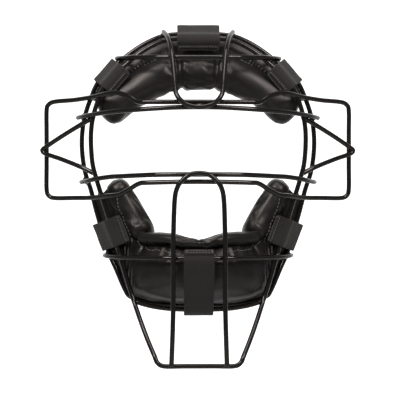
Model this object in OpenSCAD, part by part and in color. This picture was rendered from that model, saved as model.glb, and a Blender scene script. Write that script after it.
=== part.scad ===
// Catcher's mask: welded wire cage, padded crown and chin, webbing straps that open.
// Units mm. Front faces -Y, the wearer sits at +Y, +Z is up.

/* [Wire cage] */
// Diameter of every cage wire over its coating
wire_d = 4.3; // [3:0.1:5]
// Depth of the rear ring wire at the brow
rear_y = 6; // [2:0.5:12]
// Depth of the front ring wire at the brow
front_y = -8; // [-14:0.5:-4]
// Reach of the ear guard from the centre
ear_reach = 138.6; // [120:0.2:150]
// Depth of the ear guard's upright
ear_y = 21; // [10:1:30]
// Height of the crown of the rear ring above the eye line
crown_rise = 150; // [140:1:160]
// Half width of the throat guard's bottom bar
throat_half = 32; // [24:1:40]

/* [Padding] */
// Half width of a crown chamber across its length
crown_roll_w = 16.5; // [10:0.5:20]
// Half thickness of the crown pad, front to back
crown_roll_t = 14; // [10:0.5:20]
// Half width of the crown pad's centre chamber
centre_roll_w = 15; // [10:0.5:18]
// Half width of a cheek roll
cheek_roll_w = 10.5; // [7:0.5:14]
// Half thickness of a cheek roll, front to back
cheek_roll_t = 14; // [8:0.5:18]
// Thickness of the sewn vinyl covers
cover_t = 1.2; // [0.8:0.1:2]
// Thickness of the flat sewn flanges
flange_t = 3; // [2:0.5:5]
// Wall of the chin cup
cup_t = 5; // [3:0.5:8]

/* [Straps] */
// Width of the crown strap
crown_strap_w = 38; // [30:1:50]
// Width of the four side straps
side_strap_w = 25.4; // [20:0.1:38]
// Width of the chin strap
chin_strap_w = 26; // [20:0.1:38]
// Thickness of the webbing
web_t = 1.4; // [1:0.1:2.5]
// Thickness of each hook or loop patch
patch_t = 0.9; // [0.6:0.1:1.5]

/* [Hidden] */

wire_r = wire_d / 2;
wire_sides = 10;
roll_sides = 18;
eye_line = 50;        // height of the eyes in the drawing frame
seat_y = 23;          // depth of the crown pad's back, where the forehead rests
steel = [0.05, 0.05, 0.055];
vinyl = [0.06, 0.06, 0.065];
foam = [0.75, 0.72, 0.6];
webbing = [0.14, 0.14, 0.15];
nylon = [0.1, 0.1, 0.1];

// ---- vectors and smooth paths
function unit(v) = v / norm(v);
function mirrored(p) = [-p[0], p[1], p[2]];
function reversed(a) = [for (i = [len(a) - 1:-1:0]) a[i]];
// A half path whose last point is on the centre plane, made whole
function both_sides(half) =
  concat(half, [for (i = [len(half) - 2:-1:0]) mirrored(half[i])]);
function pick(p, i, closed) =
  closed ? p[(i + len(p)) % len(p)] : p[max(0, min(len(p) - 1, i))];
function curve_point(a, b, c, d, t) =
  0.5 * ((2 * b) + (c - a) * t + (2 * a - 5 * b + 4 * c - d) * t * t
  + (3 * b - a - 3 * c + d) * t * t * t);
function smooth(p, steps, closed = false) = concat(
  [for (i = [0:len(p) - (closed ? 1 : 2)]) for (k = [0:steps - 1])
    curve_point(pick(p, i - 1, closed), pick(p, i, closed), pick(p, i + 1, closed),
      pick(p, i + 2, closed), k / steps)],
  closed ? [] : [p[len(p) - 1]]);

// ---- swept wires: the section's frame is carried along the path without twist
function tangents(p, closed) = [for (i = [0:len(p) - 1])
  unit(pick(p, i + 1, closed) - pick(p, i - 1, closed))];
function square_to(v, t) = unit(v - (v * t) * t);
function normals(t, start) =
  [for (i = 0, n = square_to(start, t[0]); i < len(t);
    i = i + 1, n = i < len(t) ? square_to(n, t[i]) : n) n];
function ring_points(c, n, b, rn, rb, sides) =
  [for (k = [0:sides - 1]) c + rn * cos(360 * k / sides) * n + rb * sin(360 * k / sides) * b];
function side_faces(rings, sides, closed) = [
  for (i = [0:rings - (closed ? 1 : 2)]) for (k = [0:sides - 1])
    let (a = i * sides, b = ((i + 1) % rings) * sides, m = (k + 1) % sides)
      each [[a + k, b + k, b + m], [a + k, b + m, a + m]]];

module sweep(p, rn, rb, start, sides, closed = false) {
  t = tangents(p, closed);
  n = normals(t, start);
  last = len(p) - 1;
  slip = closed ? atan2(square_to(n[last], t[0]) * cross(t[0], n[0]), n[last] * n[0]) : 0;
  pts = [for (i = [0:last])
    let (b = cross(t[i], n[i]), a = -slip * i / len(p), u = cos(a) * n[i] + sin(a) * b)
      each ring_points(p[i], u, cross(t[i], u), rn[i], rb[i], sides)];
  ends = closed ? [] : [[for (k = [0:sides - 1]) k],
    [for (k = [sides - 1:-1:0]) last * sides + k]];
  polyhedron(pts, concat(side_faces(last + 1, sides, closed), ends));
}

module wire(p, closed = false, steps = 3, start = [0, 1, 0.01]) {
  path = smooth(p, steps, closed);
  flat = [for (i = [0:len(path) - 1]) wire_r];
  placed() color(steel) sweep(path, flat, flat, start, wire_sides, closed);
}

module placed() {
  translate([0, -seat_y, -eye_line]) children();
}

// ---- cage wires, as [across, depth, height above the eye line]
rear_half = [
  [22, rear_y, crown_rise - 0.3], [43, rear_y, 144], [65, rear_y, 130], [88, rear_y, 109.5],
  [97, rear_y, 92], [103.3, rear_y + 1, 72], [105.4, rear_y + 3, 50], [103, rear_y + 5, 27],
  [97.4, rear_y + 6, 9], [91.5, rear_y + 6, -13.6], [82, rear_y + 4, -45], [74, rear_y, -63],
  [66, rear_y - 2, -81], [60.5, rear_y - 3, -87.5], [43.5, rear_y - 4, -92.5], [22, rear_y - 5, -94.5]];
front_half = [
  [22, front_y, 144], [43, front_y, 137], [62, front_y, 123.4], [82, front_y, 104], [91, front_y, 85],
  [95.7, front_y, 62.5], [95, front_y + 1, 35.7], [90.9, front_y + 2, 17.9], [84, front_y + 2, -4.5],
  [73.2, front_y, -38.4], [66.3, front_y - 2, -62.5], [57.7, front_y - 6, -89],
  [51.3, front_y - 18, -105.6], [44.5, front_y - 29, -121.8], [38.4, front_y - 39, -134.5],
  [35.8, front_y - 41, -140], [throat_half - 2, front_y - 42, -142.8], [12, front_y - 42, -142.8]];
rear_path = concat(rear_half, reversed([for (p = rear_half) mirrored(p)]));
front_path = concat(front_half, reversed([for (p = front_half) mirrored(p)]));

module rear_ring() {
  wire(rear_path, closed = true, steps = 2);
}

module front_ring() {
  wire(front_path, closed = true, steps = 2);
}

// One wire: ear guards at the sides, upper brow bar above the eyes, cheek bar below
window_half_top = [
  [0, -46, 84.6], [43.3, -42, 84.9], [53, -38, 85.4], [61, -33, 90.3], [70.2, -27, 93.8],
  [80, -20, 94.2], [94, -6, 92.2], [112, 8, 90.6], [ear_reach - 8, ear_y - 2, 89.9],
  [ear_reach - 2, ear_y, 87.5], [ear_reach, ear_y, 82]];
window_half_low = [
  [ear_reach, ear_y, 60], [ear_reach, ear_y, 32], [ear_reach, ear_y, 10],
  [ear_reach - 2, ear_y, 4], [ear_reach - 8, ear_y - 2, 1.8], [112, 11, 1.9], [96, 0, 2.1],
  [79, -20, 3.7], [70.2, -27, 4.7], [61, -34, 9.2], [52, -41, 14.2], [43, -46, 15], [0, -54, 15.7]];
window_right = concat(window_half_top, window_half_low);
window_path = concat(window_right,
  [for (i = [len(window_right) - 2:-1:1]) mirrored(window_right[i])]);

module window_loop() {
  wire(window_path, closed = true, steps = 2, start = [0, 1, 0.1]);
}

brow_half = [[109.6, 14, 74.8], [104.5, 4, 75.2], [93.5, -13, 76], [78.8, -29, 77], [60.7, -40, 77.8],
  [43.1, -46, 78.6], [21.5, -49, 79.6], [0, -50, 79.8]];
cheek_half = [[106.5, 14, 16.3], [102.6, 5, 16.8], [92, -12, 18.6], [78.5, -22, 20.4],
  [69.2, -29, 20.8], [51, -41, 21.4], [33.5, -49, 21.8], [0, -53, 21.9]];
chin_half = [[85.2, 13, -50.3], [81.8, 4, -50.5], [71.9, -11, -50.9], [60.4, -22, -50.8],
  [42.2, -37, -50.5], [28.9, -45, -50.2], [0, -49, -50.3]];
crown_half = [[74, 10, 128.4], [69, 0, 127.6], [60, -12, 126.9], [50, -18, 126.3],
  [33.8, -26, 125.7], [0, -30, 125]];
arc_half = [[55.6, -14, -90.4], [43, -14, -94], [25, -13.5, -96.7], [0, -13, -97.4]];

module brow_bar() {
  wire(both_sides(brow_half), steps = 2, start = [0, 0, 1]);
}

module cheek_bar() {
  wire(both_sides(cheek_half), steps = 2, start = [0, 0, 1]);
}

module chin_bar() {
  wire(both_sides(chin_half), steps = 2, start = [0, 0, 1]);
}

module crown_bar() {
  wire(both_sides(crown_half), steps = 2, start = [0, 0, 1]);
}

module bottom_arc() {
  wire(both_sides(arc_half), steps = 3, start = [0, 0, 1]);
}

u_half = [[31.6, 9, 152.6], [29.4, -1, 149], [27, -12, 143.6], [24.2, -27, 131.7], [22, -40, 112.7],
  [20.4, -49, 94.6], [18.9, -51.5, 89.6], [15.7, -53, 85.3], [10.3, -54, 81.5], [0, -54.5, 79.6]];
arch_half = [[23.8, -54, -142.6], [22.6, -57, -108], [22.3, -54.5, -85], [22.3, -53.4, -51],
  [22.1, -54.5, -30], [21, -57, 0], [18.6, -58.3, 11], [14.3, -58.3, 17], [8.5, -58, 21.5], [0, -57.8, 23]];

module crown_u_bar() {
  wire(both_sides(u_half), steps = 2, start = [1, 0, 0]);
}

module nose_arch() {
  wire(both_sides(arch_half), steps = 2, start = [1, 0, 0]);
}

brace = [[94, -4, 73.5], [104, -1, 68.6], [124, 9, 57.4], [138.5, 17.2, 48.6], [142.4, 18.4, 45.3],
  [138.5, 17.2, 42], [124, 9, 37], [104, 0, 29], [93.4, -3.2, 23.6]];

module ear_brace_right() {
  wire(brace, start = [0, 1, 0]);
}

module ear_brace_left() {
  wire([for (p = brace) mirrored(p)], start = [0, 1, 0]);
}

// ---- padding: a roll is a closed loft, fullest in the middle and rounded at its ends
function fullness(s, blunt) = pow(max(0, 1 - pow(abs(2 * s - 1), blunt)), 1 / 2);
module roll(p, w, t, tip, inset = 0, steps = 3) {
  path = smooth(p, steps);
  n = len(path) - 1;
  size = [for (i = [0:n]) tip + (1 - tip) * fullness(i / n, 6)];
  trimmed = inset > 0 ? [for (i = [1:n - 1]) path[i]] : path;
  grow = inset > 0 ? [for (i = [1:n - 1]) size[i]] : size;
  placed() sweep(trimmed, [for (s = grow) w * s - inset], [for (s = grow) t * s - inset],
    [0, 0, 1], roll_sides);
}

crown_y = 8;
centre_roll = [[-16.6, crown_y, 113.4], [-9, crown_y, 114.3], [0, crown_y, 114.6],
  [9, crown_y, 114.3], [16.6, crown_y, 113.4]];
side_roll = [[17.4, crown_y, 113.9], [30, crown_y, 112.8], [44, crown_y, 106.5], [55, crown_y, 100.3],
  [66, crown_y, 93.5], [77, crown_y, 85], [87, crown_y, 78.5]];
cheek_roll = [[74, 9, 13], [69.5, 9, 4], [61.7, 7, -9.5], [54, 3, -22.5], [46.5, -4, -33.5]];
roll_tip = 0.62;       // share of a roll's size left at its ends
centre_tip = 0.8;      // the same for the crown's centre chamber
lip_tip = 0.7;         // the same for the chin lip
lip_w = 5.3;           // half height of the chin lip
lip_t = 8;             // half thickness of the chin lip, front to back
foam_gap = 0.6;        // space between a cover and its foam

module soft(c, p, w, t, tip) {
  color(c) difference() {
    roll(p, w, t, tip);
    roll(p, w, t, tip, inset = cover_t);
  }
}

module core(p, w, t, tip) {
  color(foam) roll(p, w, t, tip, inset = cover_t + foam_gap);
}

module crown_cover_centre() {
  soft(vinyl, centre_roll, centre_roll_w, crown_roll_t, centre_tip);
}

module crown_cover_right() {
  soft(vinyl, side_roll, crown_roll_w, crown_roll_t, roll_tip);
}

module crown_cover_left() {
  soft(vinyl, [for (p = side_roll) mirrored(p)], crown_roll_w, crown_roll_t, roll_tip);
}

module crown_foam_centre() {
  core(centre_roll, centre_roll_w, crown_roll_t, centre_tip);
}

module crown_foam_right() {
  core(side_roll, crown_roll_w, crown_roll_t, roll_tip);
}

module crown_foam_left() {
  core([for (p = side_roll) mirrored(p)], crown_roll_w, crown_roll_t, roll_tip);
}

module cheek_cover_right() {
  soft(vinyl, cheek_roll, cheek_roll_w, cheek_roll_t, roll_tip);
}

module cheek_cover_left() {
  soft(vinyl, [for (p = cheek_roll) mirrored(p)], cheek_roll_w, cheek_roll_t, roll_tip);
}

module cheek_foam_right() {
  core(cheek_roll, cheek_roll_w, cheek_roll_t, roll_tip);
}

module cheek_foam_left() {
  core([for (p = cheek_roll) mirrored(p)], cheek_roll_w, cheek_roll_t, roll_tip);
}

// Crown flange, drawn flat and given its thickness in depth
crown_flange_front = -1.5;
function across(p) = [-p[0], p[1]];
crown_flange_outer = [[22, 147.3], [42.3, 141.7], [63.8, 127.9], [86, 107.9], [94.6, 91.5]];
crown_flange_inner = [[87, 94], [80.5, 99], [73.2, 104.6], [63.5, 111], [52, 117.5], [41, 122.5],
  [30, 127], [17, 127.5]];

module crown_flange() {
  half = concat(crown_flange_outer, crown_flange_inner);
  placed() color(vinyl) translate([0, crown_flange_front + flange_t, 0]) rotate([90, 0, 0])
    linear_extrude(flange_t) polygon(concat(half, reversed([for (p = half) across(p)])));
}

// A slab between two grids of points, laid out in rows downward and w columns rightward
module slab(front, back, w) {
  m = len(front);
  rows = m / w - 1;
  cols = w - 1;
  last = rows * w;
  faces = concat(
    [for (r = [0:rows - 1]) for (c = [0:cols - 1]) let (a = r * w + c)
      each [[a, a + 1, a + w + 1], [a, a + w + 1, a + w],
        [m + a, m + a + w + 1, m + a + 1], [m + a, m + a + w, m + a + w + 1]]],
    [for (c = [0:cols - 1]) each [[c, m + c, m + c + 1], [c, m + c + 1, c + 1],
      [last + c, last + c + 1, m + last + c + 1], [last + c, m + last + c + 1, m + last + c]]],
    [for (r = [0:rows - 1]) let (a = r * w, b = r * w + cols)
      each [[a, a + w, m + a + w], [a, m + a + w, m + a], [b, m + b, m + b + w], [b, m + b + w, b + w]]]);
  placed() color(vinyl) polyhedron(concat(front, back), faces);
}

// Cheek flanges slope from the roll's seam back to the inside of the rear ring
cheek_seam = [[77, -1, 14], [75.5, -1, 3], [71, -1, -8], [65.5, -1, -19], [59.5, -1, -30.2]];
cheek_rim = [[91.4, 7.5, -2.5], [89.4, 7.5, -13], [86.8, 7.5, -22], [84.2, 7.5, -30], [82, 7, -36.8]];
flange_cols = 4;
function flange_points(side, y) = [for (i = [0:len(cheek_seam) - 1]) for (c = [0:flange_cols])
  let (t = side > 0 ? c / flange_cols : 1 - c / flange_cols,
    p = cheek_seam[i] + (cheek_rim[i] - cheek_seam[i]) * t) [side * p[0], p[1] + y, p[2]]];

module cheek_flange_right() {
  slab(flange_points(1, 0), flange_points(1, flange_t), flange_cols + 1);
}

module cheek_flange_left() {
  slab(flange_points(-1, 0), flange_points(-1, flange_t), flange_cols + 1);
}

// Chin cup: a bowl wall from the inside of the rear ring forward to the padded lip
cup_rim = [[81.6, 8, -37.6], [79.5, 8, -44.1], [71.7, 5, -61.9], [63.7, 3, -79.8], [58.5, 2, -85.8],
  [43.2, 1, -89.9], [22, 0, -91.9], [0, -0.5, -92.1]];
cup_lip = [[59, 0, -31], [55, -2, -34.5], [48.5, -10, -38], [42, -18, -39.5], [33, -24, -39.6],
  [22, -30, -41], [10, -34, -43.6], [0, -35.5, -44.8]];
cup_rows = 7;
cup_bulge = 21;
cup_sag = 6;
cup_rim_line = smooth(reversed(both_sides(cup_rim)), 2);
cup_lip_line = smooth(reversed(both_sides(cup_lip)), 2);
cup_w = len(cup_rim_line);
// The wall swells forward and down, most at its middle
function cup_points(off) = [for (r = [0:cup_rows]) for (c = [0:cup_w - 1])
  let (t = r / cup_rows, turn = 180 * c / (cup_w - 1) - 90, full = sin(180 * t), mid = cos(turn))
    cup_lip_line[c] + (cup_rim_line[c] - cup_lip_line[c]) * t
      + [0, -cup_bulge * full * pow(max(0, mid), 1.5), -cup_sag * full * mid]
      + off * [-0.35 * sin(turn), 0.8, 0.5]];

module chin_cup() {
  slab(cup_points(0), cup_points(cup_t), cup_w);
}

lip_half = [[43, -17, -34], [33, -25, -33.9], [22, -31, -35.2], [10, -34.5, -37.8], [0, -35.5, -39]];
module chin_lip() {
  color(vinyl) roll(both_sides(lip_half), lip_w, lip_t, lip_tip);
}

// ---- straps: sections across the ring wire, as [outward from the wire, depth]
// A strip follows the section and is cut to the webbing's width
function offset_side(p, i, h) =
  let (d = unit(pick(p, i + 1, false) - pick(p, i - 1, false))) p[i] + h * [-d[1], d[0]];
function ribbon(p, t) = concat([for (i = [0:len(p) - 1]) offset_side(p, i, t / 2)],
  [for (i = [len(p) - 1:-1:0]) offset_side(p, i, -t / 2)]);

module strip(at, turn, width, path, t) {
  placed() translate(at) rotate([0, turn, 0]) rotate([90, 0, 90])
    translate([0, 0, -width / 2]) linear_extrude(width) polygon(ribbon(path, t));
}

// Each leaf folds over the outside of the rear wire, rounds the front wire at [fu, fd] and ends
// over its pad. The fold is the leaf's height above the rear wire's place.
patch_gap = 0.5;
function swapped(p) = [for (q = p) [q[1], q[0]]];
function leaf_line(fold, fu, fd, tip) = [[fold + 0.3, 0.7], [fold, -2.2], [fu + 6, fd + 4],
  [fu + 2.8, fd - 3], [fu - 3.5, fd - 3.9], tip];
function anchor_line(fold, tail) = concat([[fold, 2.4], [1.6, 3.7], [-2, 4.4]], tail);
// A patch lies under the leaf's end, this far in from the leaf's centre line
function patch_line(fu, fd, tip, inset) =
  let (a = [fu - 3.5, fd - 3.9], d = unit(tip - a), n = [d[1], -d[0]])
    [a + d * 1.6 + n * inset, tip - d * 0.8 + n * inset];
hook_inset = (web_t + patch_t) / 2 + 0.02;
loop_inset = hook_inset + patch_t + patch_gap;

// [place by the rear wire, turn about depth, width, fold, front wire, leaf's tip, anchor's tail]
crown_strap = [[0, rear_y, crown_rise], 0, crown_strap_w, 6.8, [-6, front_y - rear_y], [-14.5, -10.4],
  [[-6.5, 2], [-12.5, -2], [-16, -3.75]]];
brow_strap = [[82.75, rear_y, 115.35], 49, side_strap_w, 3.4, [-8.6, front_y - rear_y], [-17, -12.8],
  [[-6, 1.8], [-8, -1.5], [-10.2, -3.75]]];
cheek_strap = [[85.8, rear_y + 5, -32.6], 111, side_strap_w, 4.4, [-10.2, front_y - rear_y - 4.7],
  [-20, -15.2], [[-7, 2.3], [-12, -0.8], [-16, -4.7]]];
function on_left(s) = [mirrored(s[0]), -s[1], s[2], s[3], s[4], s[5], s[6]];

module anchor(s) {
  color(webbing) strip(s[0], s[1], s[2], swapped(anchor_line(s[3], s[6])), web_t);
}

module leaf(s) {
  color(webbing) strip(s[0], s[1], s[2], swapped(leaf_line(s[3], s[4][0], s[4][1], s[5])), web_t);
}

module patch(s, inset, trim) {
  line = patch_line(s[4][0], s[4][1], s[5], inset);
  color(nylon) strip(s[0], s[1], s[2] - trim, swapped(line), patch_t);
}

module hook(s) {
  patch(s, hook_inset, 4);
}

module loop(s) {
  patch(s, loop_inset, 3);
}

module anchor_crown() {
  anchor(crown_strap);
}

module leaf_crown() {
  leaf(crown_strap);
}

module hook_crown() {
  hook(crown_strap);
}

module loop_crown() {
  loop(crown_strap);
}

module anchor_brow_right() {
  anchor(brow_strap);
}

module leaf_brow_right() {
  leaf(brow_strap);
}

module hook_brow_right() {
  hook(brow_strap);
}

module loop_brow_right() {
  loop(brow_strap);
}

module anchor_brow_left() {
  anchor(on_left(brow_strap));
}

module leaf_brow_left() {
  leaf(on_left(brow_strap));
}

module hook_brow_left() {
  hook(on_left(brow_strap));
}

module loop_brow_left() {
  loop(on_left(brow_strap));
}

module anchor_cheek_right() {
  anchor(cheek_strap);
}

module leaf_cheek_right() {
  leaf(cheek_strap);
}

module hook_cheek_right() {
  hook(cheek_strap);
}

module loop_cheek_right() {
  loop(cheek_strap);
}

module anchor_cheek_left() {
  anchor(on_left(cheek_strap));
}

module leaf_cheek_left() {
  leaf(on_left(cheek_strap));
}

module hook_cheek_left() {
  hook(on_left(cheek_strap));
}

module loop_cheek_left() {
  loop(on_left(cheek_strap));
}

// The chin strap is sewn behind the bottom wires, folds under them and rises over the chin bar
chin_leaf = [[-15, -101.6], [-22, -98.5], [-33, -85], [-43, -72], [-48, -62], [-52, -55.5],
  [-53, -50.3], [-51, -46]];
chin_anchor = [[-12.8, -101.8], [-6, -102], [1.5, -99.6], [5.9, -94.5], [6, -89]];
chin_patch = [[-33.8, -84], [-42.2, -73]];
function shifted(p, n) = [for (q = p) q + n];
chin_inward = unit([chin_patch[1][1] - chin_patch[0][1], chin_patch[0][0] - chin_patch[1][0]]);
chin_hook = shifted(chin_patch, chin_inward * hook_inset);
chin_loop = shifted(chin_patch, chin_inward * loop_inset);

module chin_strip(path, width, t) {
  strip([0, 0, 0], 0, width, path, t);
}

module anchor_chin() {
  color(webbing) chin_strip(chin_anchor, chin_strap_w, web_t);
}

module leaf_chin() {
  color(webbing) chin_strip(chin_leaf, chin_strap_w, web_t);
}

module hook_chin() {
  color(nylon) chin_strip(chin_hook, chin_strap_w - 4, patch_t);
}

module loop_chin() {
  color(nylon) chin_strip(chin_loop, chin_strap_w - 3, patch_t);
}

rear_ring();
front_ring();
window_loop();
brow_bar();
cheek_bar();
chin_bar();
crown_bar();
bottom_arc();
crown_u_bar();
nose_arch();
ear_brace_left();
ear_brace_right();
crown_cover_centre();
crown_cover_left();
crown_cover_right();
crown_foam_centre();
crown_foam_left();
crown_foam_right();
crown_flange();
cheek_cover_left();
cheek_cover_right();
cheek_foam_left();
cheek_foam_right();
cheek_flange_left();
cheek_flange_right();
chin_cup();
chin_lip();
anchor_crown();
leaf_crown();
hook_crown();
loop_crown();
anchor_brow_left();
leaf_brow_left();
hook_brow_left();
loop_brow_left();
anchor_brow_right();
leaf_brow_right();
hook_brow_right();
loop_brow_right();
anchor_cheek_left();
leaf_cheek_left();
hook_cheek_left();
loop_cheek_left();
anchor_cheek_right();
leaf_cheek_right();
hook_cheek_right();
loop_cheek_right();
anchor_chin();
leaf_chin();
hook_chin();
loop_chin();
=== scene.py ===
"""A catcher's mask dressed around its CAD frame: coated wire cage, sewn pads and webbing straps."""

import logging
import math
from dataclasses import dataclass, field
from enum import Enum
from typing import Callable, Sequence

import bpy
import numpy as np
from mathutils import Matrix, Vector, noise


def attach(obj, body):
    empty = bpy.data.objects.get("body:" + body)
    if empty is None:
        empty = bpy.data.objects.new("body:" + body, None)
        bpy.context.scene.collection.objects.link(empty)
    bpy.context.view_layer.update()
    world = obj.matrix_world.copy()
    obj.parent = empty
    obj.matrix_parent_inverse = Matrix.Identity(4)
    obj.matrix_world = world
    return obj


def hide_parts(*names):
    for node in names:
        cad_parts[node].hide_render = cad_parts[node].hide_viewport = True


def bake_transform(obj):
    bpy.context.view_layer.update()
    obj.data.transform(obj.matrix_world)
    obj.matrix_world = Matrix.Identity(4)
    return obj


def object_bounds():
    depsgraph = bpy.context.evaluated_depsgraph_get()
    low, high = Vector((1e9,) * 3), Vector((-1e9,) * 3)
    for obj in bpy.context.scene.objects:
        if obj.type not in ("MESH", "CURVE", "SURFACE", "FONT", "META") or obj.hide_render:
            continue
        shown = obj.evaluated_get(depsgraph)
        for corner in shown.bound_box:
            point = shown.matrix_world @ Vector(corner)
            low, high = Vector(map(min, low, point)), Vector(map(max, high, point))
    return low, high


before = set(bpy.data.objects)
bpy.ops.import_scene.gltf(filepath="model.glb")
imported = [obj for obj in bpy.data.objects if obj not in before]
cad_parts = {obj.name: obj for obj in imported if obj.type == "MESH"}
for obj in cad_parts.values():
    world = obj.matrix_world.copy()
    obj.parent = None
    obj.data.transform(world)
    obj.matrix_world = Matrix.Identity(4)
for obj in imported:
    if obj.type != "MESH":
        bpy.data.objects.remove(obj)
CAD_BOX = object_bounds()
log = logging.getLogger("mask")

MM = 0.001
EYE_LINE = 50.0  # height of the eyes in the drawing frame, in mm
SEAT = 23.0  # depth of the crown pad's back, where the forehead rests, in mm
CLOTH_FRAMES = 20
CLOTH = {
    "vertex_group_mass": "held", "use_pressure": True, "mass": 0.3, "tension_stiffness": 60,
    "compression_stiffness": 60, "bending_stiffness": 6.0,
}
EDGE_SAMPLES = 400
Point = tuple[float, float, float]
Pair = tuple[float, float]
Face = tuple[int, ...]


def place(points: Sequence[Sequence[float]]) -> np.ndarray:
    """Turns drawing points, as across, depth and height in mm, into frame metres.

    Args:
        points: rows of across, depth and height.

    Returns:
        An array of the same rows in metres in the part's frame.
    """
    return (np.array(points, float) - np.array([0.0, SEAT, EYE_LINE])) * MM


def mirrored(points: Sequence[Point]) -> list[Point]:
    """Returns the points of the other side of the mask."""
    return [(-x, y, z) for x, y, z in points]


def both_sides(half: Sequence[Point]) -> list[Point]:
    """Returns a half path that ends on the centre plane, made whole."""
    return list(half) + mirrored(half[:-1])[::-1]


def smooth_path(points: Sequence[Sequence[float]], steps: int, closed: bool = False) -> np.ndarray:
    """Runs a smooth curve through points.

    Args:
        points: the points that the curve passes through.
        steps: samples between one point and the next.
        closed: whether the curve returns to its start.

    Returns:
        The samples, one a row.
    """
    p = np.array(points, float)
    n = len(p)
    rows = []
    for i in range(n if closed else n - 1):
        index = [i - 1, i, i + 1, i + 2]
        a, b, c, d = (p[k % n] if closed else p[min(max(k, 0), n - 1)] for k in index)
        for t in np.arange(steps) / steps:
            bend, twist = 2 * a - 5 * b + 4 * c - d, 3 * b - a - 3 * c + d
            rows.append(0.5 * (2 * b + (c - a) * t + bend * t**2 + twist * t**3))
    if not closed:
        rows.append(p[-1])
    return np.array(rows)


def arc_lengths(path: np.ndarray) -> np.ndarray:
    """Returns how far along the path each of its points lies."""
    return np.concatenate([[0.0], np.cumsum(np.linalg.norm(np.diff(path, axis=0), axis=1))])


def at_length(path: np.ndarray, s: np.ndarray, want: float | np.ndarray) -> np.ndarray:
    """Returns the point or points so far along a path, whose own points lie at the lengths s."""
    return np.stack([np.interp(want, s, path[:, k]) for k in range(path.shape[1])], axis=-1)


def resample(path: np.ndarray, count: int) -> np.ndarray:
    """Returns count points spread evenly along the path."""
    s = arc_lengths(path)
    return at_length(path, s, np.linspace(0, s[-1], count))


def unit(v: np.ndarray) -> np.ndarray:
    """Returns a vector, or each row of an array, at length 1."""
    return v / np.linalg.norm(v, axis=-1, keepdims=True)


def bell(distance: np.ndarray | float, width: float) -> np.ndarray | float:
    """Returns 1 at no distance, falling off over the width."""
    return np.exp(-((distance / width) ** 2))


def grain(point: Sequence[float], size: float, seed: float = 0.0) -> float:
    """Returns smooth noise, about -1 to 1, whose lumps are about size mm across."""
    x, y, z = (c / size for c in point)
    return noise.noise(Vector((x + seed, y - seed, z + 2 * seed)))


# ---------------------------------------------------------------- materials


class Socket(Enum):
    """The kinds of socket that a shared node group has."""

    VALUE = "NodeSocketFloat"
    VECTOR = "NodeSocketVector"


class NodeGroup:
    """A shared effect: a shader node group with named inputs and outputs."""

    def __init__(self, name: str, inputs: dict[str, float], outputs: dict[str, Socket]) -> None:
        """Makes the empty group.

        Args:
            name: the group's name.
            inputs: its number inputs and their defaults. A Vector input is always there.
            outputs: its outputs and their kinds.
        """
        self.tree = bpy.data.node_groups.new(name, "ShaderNodeTree")
        side = self.tree.interface
        side.new_socket("Vector", in_out="INPUT", socket_type=Socket.VECTOR.value)
        for label, value in inputs.items():
            side.new_socket(label, in_out="INPUT", socket_type=Socket.VALUE.value).default_value = value
        for label, kind in outputs.items():
            side.new_socket(label, in_out="OUTPUT", socket_type=kind.value)
        self.source = self.tree.nodes.new("NodeGroupInput")
        self.sink = self.tree.nodes.new("NodeGroupOutput")

    def node(self, kind: str, **settings: object) -> bpy.types.Node:
        """Returns a new node of a kind, with its settings."""
        made = self.tree.nodes.new(kind)
        for key, value in settings.items():
            setattr(made, key, value)
        return made

    def link(self, a: bpy.types.NodeSocket, b: bpy.types.NodeSocket) -> None:
        """Joins two sockets."""
        self.tree.links.new(a, b)

    def noise(self, **values: float) -> bpy.types.Node:
        """Returns a noise texture on the group's vector, with the values of its inputs."""
        made = self.node("ShaderNodeTexNoise")
        self.link(self.source.outputs["Vector"], made.inputs["Vector"])
        for label, value in values.items():
            made.inputs[label].default_value = value
        return made

    def maths(self, operation: str, a: object, b: object = 0.5) -> bpy.types.NodeSocket:
        """Returns the result of one sum on two sockets or numbers.

        Args:
            operation: the Math node's operation.
            a: its first socket or number.
            b: its second socket or number.

        Returns:
            The socket that carries the result.
        """
        made = self.node("ShaderNodeMath", operation=operation)
        for slot, value in zip(made.inputs, (a, b)):
            if isinstance(value, bpy.types.NodeSocket):
                self.link(value, slot)
            else:
                slot.default_value = float(value)
        return made.outputs[0]


def grain_group() -> NodeGroup:
    """Returns the pebbled grain of vinyl: cells, soft creases and a mottle."""
    g = NodeGroup(
        "vinyl_grain",
        {"Cells": 900.0, "Depth": 0.5},
        {"Height": Socket.VALUE, "Mottle": Socket.VALUE},
    )
    cells = g.node("ShaderNodeTexVoronoi", feature="SMOOTH_F1")
    cells.inputs["Smoothness"].default_value = 0.6
    g.link(g.source.outputs["Vector"], cells.inputs["Vector"])
    g.link(g.source.outputs["Cells"], cells.inputs["Scale"])
    crease = g.noise(Scale=55.0, Detail=6.0, Distortion=0.7)
    mottle = g.noise(Scale=22.0, Detail=3.0)
    small = g.maths("MULTIPLY", cells.outputs["Distance"], 0.55)
    wide = g.maths("MULTIPLY", crease.outputs["Fac"], 0.9)
    both = g.maths("ADD", small, wide)
    g.link(g.maths("MULTIPLY", both, g.source.outputs["Depth"]), g.sink.inputs["Height"])
    g.link(mottle.outputs["Fac"], g.sink.inputs["Mottle"])
    return g


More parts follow.
